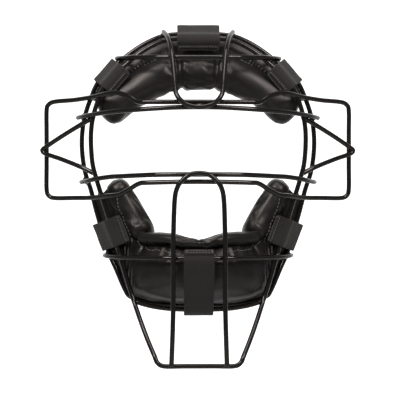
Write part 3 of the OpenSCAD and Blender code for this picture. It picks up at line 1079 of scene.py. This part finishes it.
@dataclass
class ChinPad:
    """The lower pad: two cheek rolls with their flanges, and the chin cup under its lip."""

    bulge: float = 22.0
    sag: float = 6.0
    wall: float = 4.6
    rows: int = 36
    seam_inset: int = 12
    gathers: float = 1.2
    dart: float = 2.6
    dart_at: float = 46.0
    side_fold: float = 1.5
    side_fold_at: float = 66.0
    hem_groove: float = 1.3
    hem_at: float = 0.93
    hang: Pair = (1.4, 0.6)
    lip: np.ndarray = field(init=False)
    rim: np.ndarray = field(init=False)

    def __post_init__(self) -> None:
        """Samples the cup's lip and its rim by the ring, from the left to the right."""
        lip = [
            (58, -1, -30), (54, -3, -33.5), (48.5, -10, -36.5), (42, -18, -37.7), (33, -25, -37.4),
            (22, -31, -38.6), (10, -34.8, -41.2), (0, -36, -42.4),
        ]
        rim = [
            (84.6, 12, -37), (82, 11, -44.5), (74.2, 7.2, -62.5), (66, 5, -80.5), (60.3, 4, -87.2),
            (43.5, 2.6, -91.8), (22, 1.6, -93.8), (0, 1.2, -94),
        ]
        self.lip = smooth_path(both_sides(lip)[::-1], 9)
        self.rim = smooth_path(both_sides(rim)[::-1], 9)

    def cup_point(self, col: int, r: float) -> np.ndarray:
        """Returns a place on the outside of the cup.

        Args:
            col: the column, from the left to the right.
            r: 0 at the lip and 1 at the rim by the ring.

        Returns:
            The place in mm.
        """
        turn = math.pi * col / (len(self.lip) - 1) - math.pi / 2
        sa, ca = math.sin(turn), max(0.0, math.cos(turn))
        full = math.sin(math.pi * min(1.0, r)) ** 0.85
        start = self.lip[col]
        p = start + (self.rim[col] - start) * r
        p += np.array([0, -(self.bulge * ca**1.5 + 2.2) * full, -self.sag * full * ca])
        gather = self.gathers * math.sin(start[0] * 0.75 + 3 * grain((start[0], 0, 0), 14))
        gather *= math.exp(-r / 0.17) * (1 - math.exp(-r / 0.04))
        dart = self.dart * bell(abs(start[0]) - self.dart_at, 1.3) * bell(r - 0.1, 0.26)
        folds = 1 + math.sin(2.1 * abs(p[0]) + 0.09 * p[2])
        dart += self.side_fold * folds * bell(abs(p[0]) - self.side_fold_at, 6.5) * full
        edge = self.hem_groove * bell(r - self.hem_at, 0.035)
        hang = self.hang[0] * grain(p, 21, 4.2) + self.hang[1] * grain(p, 9, 1.3)
        return p + unit(np.array([0.35 * sa, -0.8, -0.5])) * (gather + hang - dart - edge)

    def cup(self, palette: Palette) -> bpy.types.Object:
        """Builds the chin cup with its padded wall.

        Args:
            palette: the mask's materials.

        Returns:
            The cup.
        """
        verts = [
            self.cup_point(col, r)
            for r in np.linspace(0, 1, self.rows)
            for col in range(len(self.lip))
        ]
        made = new_mesh("chin_cup_pouch", place(verts), grid_faces(self.rows, len(self.lip)), palette.vinyl)
        thicken(made, self.wall, edge=1.4, segments=3)
        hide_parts("chin_cup")
        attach(made, "mask")
        return made

    def build(self, palette: Palette) -> list[bpy.types.Object]:
        """Builds every piece of the lower pad.

        Args:
            palette: the mask's materials.

        Returns:
            The pieces.
        """
        lip_half = [
            (52, -8, -32), (47, -14, -33.4), (40, -20, -33.7), (33, -25, -33.8), (22, -31, -35),
            (10, -34.5, -37.6), (0, -35.5, -38.8),
        ]
        lip = Roll(
            "chin_lip_roll", both_sides(lip_half), 5.4, 8.2, ("chin_lip",), seams=(0.5,), dome=7, puckers=9,
            seed=5.3, pull=0.2,
        )
        made = [self.cup(palette), lip.build(palette)]
        under_lip = range(self.seam_inset, len(self.lip) - self.seam_inset)
        sewn = [np.array([self.cup_point(col, 0.1) - np.array([0, 0.4, 0.1]) for col in under_lip])]
        cheek = [(77, 9, 18), (74.3, 9, 13), (69.7, 9, 4), (61.9, 7, -9.5), (54, 3, -22.5), (45.5, -4, -35)]
        outer = [(94.2, 12.3, -1), (91.8, 12.6, -13), (89, 12.3, -22), (86.6, 12, -30), (84.4, 12, -37.4)]
        inner = [(76.5, 0, 15), (73.5, 0, 3), (69, 0, -9), (63.5, -1, -19.5), (57.5, -2, -31.5)]
        roll_seam = [(73.5, -6, 2), (72.2, -6, -6), (68.5, -6, -15), (64.5, -6, -24), (60.5, -6, -32)]
        for side, flip in (("right", 1), ("left", -1)):
            path = cheek if flip > 0 else mirrored(cheek)
            roll = Roll(
                f"cheek_roll_{side}", path, 10.7, 14.2, (f"cheek_cover_{side}", f"cheek_foam_{side}"),
                dome=10, seed=6.1 * flip, squareness=2.4,
            ).build(palette)
            made.append(roll)
            sewn.append(laid_on(roll, smooth_path([(flip * x, y, z) for x, y, z in roll_seam], 12)))
            flange = Flange(
                f"cheek_flange_sheet_{side}", outer if flip > 0 else mirrored(outer),
                inner if flip > 0 else mirrored(inner), f"cheek_flange_{side}", rows=70, seed=2.7 * flip,
            )
            made.append(flange.build(palette))
            sewn += flange.stitch_lines()[:1]
        sewing = Stitches().build("chin_stitches", sewn, palette)
        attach(sewing, "mask")
        return made + [sewing]


# ---------------------------------------------------------------- straps


@dataclass
class Strap:
    """A webbing strap sewn behind a pad and folded over the ring, whose front half lifts.

    A line's points are outward from the rear rod and depth from it, or depth and height for the chin strap.
    """

    tag: str
    width: float
    line: list[tuple[float, float]]
    centre: Point = (0.0, 0.0, 0.0)
    turn: float = 0.0
    start: tuple[float, float] = (0.0, 0.0)
    end: tuple[float, float] = (0.0, 0.0)
    upright: bool = False
    thick: float = 1.5
    hem: float = 7.0
    step: float = 0.9
    cols: int = 18
    ripple: float = 0.25
    wobble: float = 0.22
    worn_edge: float = 0.12

    def to_mask(self, across: float, u: float, d: float) -> np.ndarray:
        """Returns a strap point in the drawing's mm.

        Args:
            across: the distance along the fold.
            u: outward from the rod, or the height on the chin strap.
            d: the depth from the rod, or the depth on the chin strap.

        Returns:
            The place in mm.
        """
        a = math.radians(self.turn)
        out = np.array([math.sin(a), 0, math.cos(a)])
        along = np.array([math.cos(a), 0, -math.sin(a)])
        return np.array(self.centre) + along * across + out * u + np.array([0, d, 0])

    def path(self) -> tuple[np.ndarray, np.ndarray, np.ndarray]:
        """Samples the strap's line evenly.

        Returns:
            Its points as outward and depth, how far along each one lies, and the way out from it.
        """
        raw = smooth_path([(u, d, 0) for u, d in self.line], 10)
        p = resample(raw, int(arc_lengths(raw)[-1] / self.step))[:, :2]
        s = arc_lengths(np.column_stack([p, np.zeros(len(p))]))
        tangent = unit(np.gradient(p, axis=0))
        side = -1.0 if self.upright else 1.0
        return p, s, np.column_stack([-tangent[:, 1], tangent[:, 0]]) * side

    def ribbon(
        self, name: str, first: float, lift: float, thick: float, trim: float, palette: Palette
    ) -> bpy.types.Object:
        """Weaves a strip along the line.

        Args:
            name: the strip's name.
            first: where it starts, as a length in mm back from the line's end, or 0 for all of it.
            lift: how far it stands off the line towards its outer face.
            thick: its thickness.
            trim: how much narrower it is than the strap, each side.
            palette: the mask's materials.

        Returns:
            The strip.
        """
        p, s, normal = self.path()
        keep = s >= (s[-1] - first if first else -1)
        verts, chart = [], []
        half = self.width / 2 - trim
        for q, n, length in zip(p[keep], normal[keep], s[keep]):
            for x in np.linspace(-half, half, self.cols):
                edge = max(0.0, abs(x) - half + 1.2)
                ripple = self.ripple * grain((x, length, 0), 9, len(self.tag))
                u, d = q + n * (lift + ripple - self.worn_edge * edge)
                wobble = self.wobble * grain((length, x, 7), 7, len(self.tag)) * (abs(x) / half)
                verts.append(self.to_mask(x + wobble, u, d))
                chart.append((x * MM, length * MM))
        faces = grid_faces(int(keep.sum()), self.cols)
        made = new_mesh(name, place(verts), faces, palette.webbing, np.array(chart))
        apply_modifier(made, "SOLIDIFY", thickness=thick * MM, offset=0)
        apply_modifier(made, "BEVEL", width=0.4 * MM, segments=2, limit_method="ANGLE")
        face_outwards(made)
        return made

    def stitch_runs(self) -> list[np.ndarray]:
        """Returns the rows of thread across the hem and down its sides."""
        p, s, normal = self.path()

        def on_face(x: float, back: float) -> np.ndarray:
            """Returns a place on the hem's face, so far back from the strap's end."""
            i = int(np.searchsorted(s, s[-1] - back))
            u, d = p[i] + normal[i] * (self.thick * 1.35)
            return self.to_mask(x, u, d)

        half = self.width / 2 - 1.8
        low, high = 1.6, self.hem - 1.4
        rows = [np.array([on_face(x, back) for x in np.linspace(-half, half, 24)]) for back in (low, high)]
        sides = [
            np.array([on_face(side * half, back) for back in np.linspace(low, high, 8)])
            for side in (-1, 1)
        ]
        return rows + sides

    def build(self, palette: Palette) -> list[bpy.types.Object]:
        """Weaves the strap, its doubled hem and its stitches, and bends them at the fold.

        Args:
            palette: the mask's materials.

        Returns:
            The pieces.
        """
        strip = self.ribbon(f"strap_{self.tag}", 0, 0.0, self.thick, 0.0, palette)
        hem = self.ribbon(f"hem_{self.tag}", self.hem, self.thick * 0.85, self.thick * 0.8, 0.25, palette)
        sewing = Stitches(pitch=2.6, length=2.0, thick=0.34).build(
            f"hem_stitches_{self.tag}", self.stitch_runs(), palette
        )
        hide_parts(f"leaf_{self.tag}", f"anchor_{self.tag}")
        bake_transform(strip)
        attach(hem, f"flap_{self.tag}")
        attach(sewing, f"flap_{self.tag}")
        return [strip, hem, sewing]


@dataclass
class Harness:
    """The six straps, and the hook and loop patches under their ends."""

    crown_width: float = 38.0
    side_width: float = 25.4
    chin_width: float = 26.0

    def side_line(self, fold: float, wire: Pair, tip: Pair, tail: list[Pair]) -> list[Pair]:
        """Returns the line of a strap over the ring, as outward and depth from the rear rod.

        Args:
            fold: how far outward the fold stands.
            wire: where the front rod is.
            tip: the strap's free end.
            tail: the strap's sewn end, from the ring on.

        Returns:
            The line from the sewn end to the free one.
        """
        fu, fd = wire
        round_ring = [(-2, 4.4), (fold / 2 + 0.6, 3.6), (fold + 0.1, 1.4), (fold + 0.1, -2.2)]
        round_front = [(fu + 6, fd + 4), (fu + 2.8, fd - 3), (fu - 3.5, fd - 3.9)]
        return tail[::-1] + round_ring + round_front + [tip]

    def straps(self) -> list[Strap]:
        """Lays out the six straps."""
        fold = {"start": (0.32, -0.9), "end": (1.4, -4.0)}
        crown = self.side_line(6.8, (-6, -14), (-14.5, -10.4), [(-6.5, 2), (-12.5, -2), (-16, -3.75)])
        brow = self.side_line(3.4, (-8.6, -14), (-17, -12.8), [(-6, 1.8), (-8, -1.5), (-10.2, -3.75)])
        cheek = self.side_line(4.4, (-10.2, -18.7), (-20, -15.2), [(-7, 2.3), (-12, -0.8), (-16, -4.7)])
        places = {
            "crown": ((0.0, 6.0, 150.0), 0.0, self.crown_width, crown),
            "brow_right": ((82.75, 6.0, 115.35), 49.0, self.side_width, brow),
            "brow_left": ((-82.75, 6.0, 115.35), -49.0, self.side_width, brow),
            "cheek_right": ((85.8, 11.0, -32.6), 111.0, self.side_width, cheek),
            "cheek_left": ((-85.8, 11.0, -32.6), -111.0, self.side_width, cheek),
        }
        made = [
            Strap(tag, width, line, centre, turn, **fold)
            for tag, (centre, turn, width, line) in places.items()
        ]
        chin = [
            (6, -89), (5.9, -94.5), (1.5, -99.6), (-6, -102), (-13, -101.9), (-22, -98.5), (-33, -85),
            (-43, -72), (-48, -62), (-52, -55.5), (-53, -50.3), (-50.5, -43),
        ]
        made.append(
            Strap(
                "chin", self.chin_width, [(z, y) for y, z in chin], upright=True,
                start=(-101.8, -13.0), end=(-101.8, -17.0), hem=5.0,
            )
        )
        return made

    def build(self, palette: Palette) -> list[bpy.types.Object]:
        """Builds the straps and dresses the patches.

        Args:
            palette: the mask's materials.

        Returns:
            The pieces.
        """
        made = [piece for strap in self.straps() for piece in strap.build(palette)]
        for name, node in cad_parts.items():
            if name.startswith(("hook_", "loop_")):
                paint(node, palette.hooks if name.startswith("hook_") else palette.loops)
        return made


# ---------------------------------------------------------------- the studio


@dataclass
class Studio:
    """The pale sweep, the soft lights and the camera."""

    distance: float = 1.1
    offset: float = -0.016
    aim: float = 0.0015
    lens: float = 110.0
    drop: float = 0.26
    paper_half: float = 2.6
    floor_front: float = -2.2
    floor_back: float = 1.1
    bend: float = 0.6
    wall_top: float = 3.0
    world: float = 0.25
    lit: Point = (0.0, -0.03, -0.02)

    def paper(self, name: str, profile: Sequence[tuple[float, float]], shade: float, glow: float) -> None:
        """Builds a wide strip of studio paper along a profile.

        Args:
            name: the strip's name.
            profile: depth and height along it, in metres.
            shade: how much light it gives back.
            glow: how brightly it shines by itself.
        """
        verts = [(x, y, z) for y, z in profile for x in (-self.paper_half, self.paper_half)]
        made = bpy.data.materials.new(name)
        made.use_nodes = True
        shader = made.node_tree.nodes["Principled BSDF"]
        shader.inputs["Base Color"].default_value = (shade, shade, shade, 1)
        shader.inputs["Roughness"].default_value = 0.9
        shader.inputs["Emission Color"].default_value = (1, 1, 1, 1)
        shader.inputs["Emission Strength"].default_value = glow
        new_mesh(name, np.array(verts), grid_faces(len(profile), 2), made)

    def sweep(self) -> None:
        """Builds the pale floor and the bright wall it curves up into."""
        low = CAD_BOX[0][2] - self.drop
        turn = np.linspace(0.0, math.pi / 2, 14)
        wall = [
            (self.floor_back + self.bend * math.sin(a), low + self.bend * (1 - math.cos(a))) for a in turn
        ]
        self.paper("studio_floor", [(self.floor_front, low), wall[0]], shade=0.6, glow=0.06)
        self.paper("studio_wall", wall + [(wall[-1][0], self.wall_top)], shade=0.93, glow=0.8)

    def light(self, name: str, spot: Point, size: float, power: float) -> None:
        """Adds a square soft light aimed at the mask.

        Args:
            name: the light's name.
            spot: where it hangs, in metres.
            size: its side in metres.
            power: its power in watts.
        """
        data = bpy.data.lights.new(name, "AREA")
        data.size = size
        data.energy = power
        self.aimed(name, data, Vector(spot), Vector(self.lit))

    def aimed(self, name: str, data: bpy.types.ID, spot: Vector, target: Vector) -> bpy.types.Object:
        """Hangs a light or the camera at a spot and turns it to a target.

        Args:
            name: its name.
            data: the light or the camera.
            spot: where it is, in metres.
            target: what it looks at, in metres.

        Returns:
            The object.
        """
        made = bpy.data.objects.new(name, data)
        made.location = spot
        made.rotation_euler = (target - spot).to_track_quat("-Z", "Y").to_euler()
        bpy.context.collection.objects.link(made)
        return made

    def build(self) -> None:
        """Sets up the world, the lights and the camera."""
        self.sweep()
        world = bpy.data.worlds.new("studio")
        world.use_nodes = True
        sky = world.node_tree.nodes["Background"].inputs
        sky["Color"].default_value = (1, 1, 1, 1)
        sky["Strength"].default_value = self.world
        bpy.context.scene.world = world
        self.light("key", (-0.4, -0.72, 0.6), 0.3, 7.4)
        self.light("fill", (0.42, -0.75, 0.55), 0.3, 5.8)
        self.light("top", (0.0, -0.3, 0.8), 0.45, 4.2)
        bpy.context.scene.view_settings.view_transform = "Standard"
        data = bpy.data.cameras.new("camera")
        data.sensor_width = 36.0
        data.lens = self.lens
        spot = Vector((self.offset, -self.distance - SEAT * MM, -EYE_LINE * MM))
        target = Vector((self.aim, -SEAT * MM, -EYE_LINE * MM))
        bpy.context.scene.camera = self.aimed("camera", data, spot, target)


def main() -> None:
    """Builds the mask and its studio."""
    logging.basicConfig(level=logging.INFO, format="%(message)s")
    bpy.ops.object.select_all(action="DESELECT")
    Studio().build()
    palette = Palette()
    for assembly in (Cage(), CrownPad(), ChinPad(), Harness()):
        for piece in assembly.build(palette):
            log.info("%s: %d faces", piece.name, len(piece.data.polygons))
    for name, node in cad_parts.items():
        if "foam" in name:
            paint(node, palette.foam)


if __name__ == "__main__":
    main()
